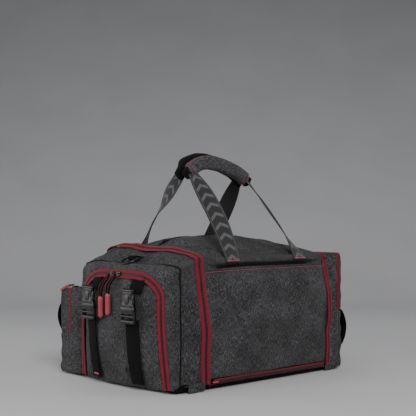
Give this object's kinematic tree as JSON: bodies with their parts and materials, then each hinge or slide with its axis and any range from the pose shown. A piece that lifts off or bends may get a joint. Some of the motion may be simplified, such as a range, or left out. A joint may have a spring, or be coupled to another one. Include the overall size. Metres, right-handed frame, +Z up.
{
  "type": "duffel bag",
  "caption": "Soft duffel bag with a bulging buckled end compartment, end and side pockets, contrast zips, a luggage sleeve, and webbing handles with a padded grip.",
  "frame": {"origin": "middle of the main section's flat base, on the face it rests on", "axes": "+X along the length to the end without buckles, the front long side faces -Y, +Z up"},
  "size_m": [0.5775, 0.4201, 0.4851],
  "materials": {
    "heather_fabric": "matte heather weave",
    "grip_fabric": "matte heather weave, padded",
    "crimson_zip": "woven zip tape with moulded teeth",
    "black_webbing": "ribbed webbing",
    "base_fabric": "coated ripstop",
    "base_board": "matte board",
    "black_plastic": "moulded, satin gloss",
    "crimson_rubber": "soft moulded rubber"
  },
  "bodies": {
    "bag": {"base_panel": "base_fabric", "base_board": "base_board", "front_sleeve": "heather_fabric", "front_wall": "heather_fabric", "back_wall": "heather_fabric", "front_shoulder": "heather_fabric", "back_shoulder": "heather_fabric", "near_main_zip": "crimson_zip", "far_main_zip": "crimson_zip", "near_divider": "heather_fabric", "far_divider": "heather_fabric", "near_side_front": "heather_fabric", "near_side_back": "heather_fabric", "near_top": "heather_fabric", "near_u_zip": "crimson_zip", "end_gusset_front": "heather_fabric", "end_gusset_back": "heather_fabric", "end_top": "heather_fabric", "end_lower_panel": "heather_fabric", "end_pocket_zip": "crimson_zip", "end_grab_loop": "black_webbing", "side_pocket_floor": "heather_fabric", "side_gusset_near": "heather_fabric", "side_gusset_far": "heather_fabric", "side_pocket_top": "heather_fabric", "side_lower_panel": "heather_fabric", "side_pocket_zip": "crimson_zip", "sleeve_zip": "crimson_zip", "near_ring_tab": "black_webbing", "end_ring_tab": "black_webbing"},
    "front_handle": {"front_handle_webbing": "black_webbing", "front_grip": "grip_fabric"},
    "back_handle": {"back_handle_webbing": "black_webbing", "back_grip": "grip_fabric"},
    "front_flap": {"top_flap_front": "heather_fabric", "top_zip": "black_webbing"},
    "back_flap": {"top_flap_back": "heather_fabric"},
    "near_flap": {"near_panel": "heather_fabric", "compression_straps": "black_webbing", "buckle_tabs": "black_webbing", "buckle_socket_left": "black_plastic", "buckle_socket_right": "black_plastic"},
    "plug_left": {"buckle_plug_left": "black_plastic"},
    "plug_right": {"buckle_plug_right": "black_plastic"},
    "arm_left_low": {"buckle_arm_left_low": "black_plastic"},
    "arm_left_high": {"buckle_arm_left_high": "black_plastic"},
    "arm_right_low": {"buckle_arm_right_low": "black_plastic"},
    "arm_right_high": {"buckle_arm_right_high": "black_plastic"},
    "slider_left": {"near_slider_left": "black_plastic"},
    "slider_right": {"near_slider_right": "black_plastic"},
    "pull_left": {"near_pull_left": "crimson_rubber"},
    "pull_right": {"near_pull_right": "crimson_rubber"},
    "end_flap": {"end_flap": "heather_fabric"},
    "side_flap": {"side_flap": "heather_fabric", "side_grab_loop": "black_webbing"},
    "side_slider": {"side_slider": "black_plastic"},
    "side_pull": {"side_pull": "crimson_rubber"},
    "near_ring": {"near_ring": "black_plastic"},
    "end_ring": {"end_ring": "black_plastic"}
  },
  "joints": [
    {"name": "front_handle_swing", "type": "hinge", "parent": "bag", "child": "front_handle", "pos_m": [0, -0.15, 0.257], "axis": [1, 0, 0], "range_deg": [0, 150]},
    {"name": "back_handle_swing", "type": "hinge", "parent": "bag", "child": "back_handle", "pos_m": [0, 0.15, 0.257], "axis": [-1, 0, 0], "range_deg": [0, 150]},
    {"name": "front_flap_fold", "type": "hinge", "parent": "bag", "child": "front_flap", "pos_m": [0, -0.1265, 0.266], "axis": [1, 0, 0], "range_deg": [0, 105]},
    {"name": "back_flap_fold", "type": "hinge", "parent": "bag", "child": "back_flap", "pos_m": [0, 0.1265, 0.266], "axis": [-1, 0, 0], "range_deg": [0, 105]},
    {"name": "near_flap_fold", "type": "hinge", "parent": "bag", "child": "near_flap", "pos_m": [-0.276, 0, 0.005], "axis": [0, -1, 0], "range_deg": [0, 75]},
    {"name": "plug_left_slide", "type": "slide", "parent": "near_flap", "child": "plug_left", "axis": [0, 0, -1], "range_m": [0, 0.032]},
    {"name": "plug_right_slide", "type": "slide", "parent": "near_flap", "child": "plug_right", "axis": [0, 0, -1], "range_m": [0, 0.032]},
    {"name": "arm_left_low_squeeze", "type": "hinge", "parent": "plug_left", "child": "arm_left_low", "pos_m": [-0.307, 0.053, 0.173], "axis": [-1, 0, 0], "range_deg": [0, 6], "stiffness_Nm_per_rad": 0.05},
    {"name": "arm_left_high_squeeze", "type": "hinge", "parent": "plug_left", "child": "arm_left_high", "pos_m": [-0.307, 0.079, 0.173], "axis": [1, 0, 0], "range_deg": [0, 6], "stiffness_Nm_per_rad": 0.05},
    {"name": "arm_right_low_squeeze", "type": "hinge", "parent": "plug_right", "child": "arm_right_low", "pos_m": [-0.307, -0.079, 0.173], "axis": [-1, 0, 0], "range_deg": [0, 6], "stiffness_Nm_per_rad": 0.05},
    {"name": "arm_right_high_squeeze", "type": "hinge", "parent": "plug_right", "child": "arm_right_high", "pos_m": [-0.307, -0.053, 0.173], "axis": [1, 0, 0], "range_deg": [0, 6], "stiffness_Nm_per_rad": 0.05},
    {"name": "slider_left_run", "type": "slide", "parent": "near_flap", "child": "slider_left", "axis": [0, 1, 0], "range_m": [0, 0.005]},
    {"name": "slider_right_run", "type": "slide", "parent": "near_flap", "child": "slider_right", "axis": [0, -1, 0], "range_m": [0, 0.03]},
    {"name": "pull_left_swing", "type": "hinge", "parent": "slider_left", "child": "pull_left", "pos_m": [-0.3015, 0.022, 0.227], "axis": [0, 1, 0], "range_deg": [0, 120]},
    {"name": "pull_right_swing", "type": "hinge", "parent": "slider_right", "child": "pull_right", "pos_m": [-0.3015, 0, 0.227], "axis": [0, 1, 0], "range_deg": [0, 120]},
    {"name": "end_flap_fold", "type": "hinge", "parent": "bag", "child": "end_flap", "pos_m": [0.2475, 0, 0.134], "axis": [0, 1, 0], "range_deg": [0, 95]},
    {"name": "side_flap_fold", "type": "hinge", "parent": "bag", "child": "side_flap", "pos_m": [0, 0.232, 0.09], "axis": [-1, 0, 0], "range_deg": [0, 95]},
    {"name": "side_slider_run", "type": "slide", "parent": "bag", "child": "side_slider", "axis": [1, 0, 0], "range_m": [0, 0.4]},
    {"name": "side_pull_swing", "type": "hinge", "parent": "side_slider", "child": "side_pull", "pos_m": [-0.252, 0.19, 0.1969], "axis": [1, 0, 0], "range_deg": [0, 120]},
    {"name": "near_ring_swing", "type": "hinge", "parent": "bag", "child": "near_ring", "pos_m": [-0.242, 0, 0.2562], "axis": [0, 1, 0], "range_deg": [0, 150]},
    {"name": "end_ring_swing", "type": "hinge", "parent": "bag", "child": "end_ring", "pos_m": [0.222, 0, 0.2665], "axis": [0, -1, 0], "range_deg": [0, 150]}
  ],
  "couplings": [
    {"joint": "back_handle_swing", "follows": "front_handle_swing", "ratio": 1},
    {"joint": "front_flap_fold", "follows": "front_handle_swing", "ratio": 0.7},
    {"joint": "back_flap_fold", "follows": "front_handle_swing", "ratio": 0.7},
    {"joint": "arm_left_high_squeeze", "follows": "arm_left_low_squeeze", "ratio": 1},
    {"joint": "arm_right_high_squeeze", "follows": "arm_right_low_squeeze", "ratio": 1}
  ]
}
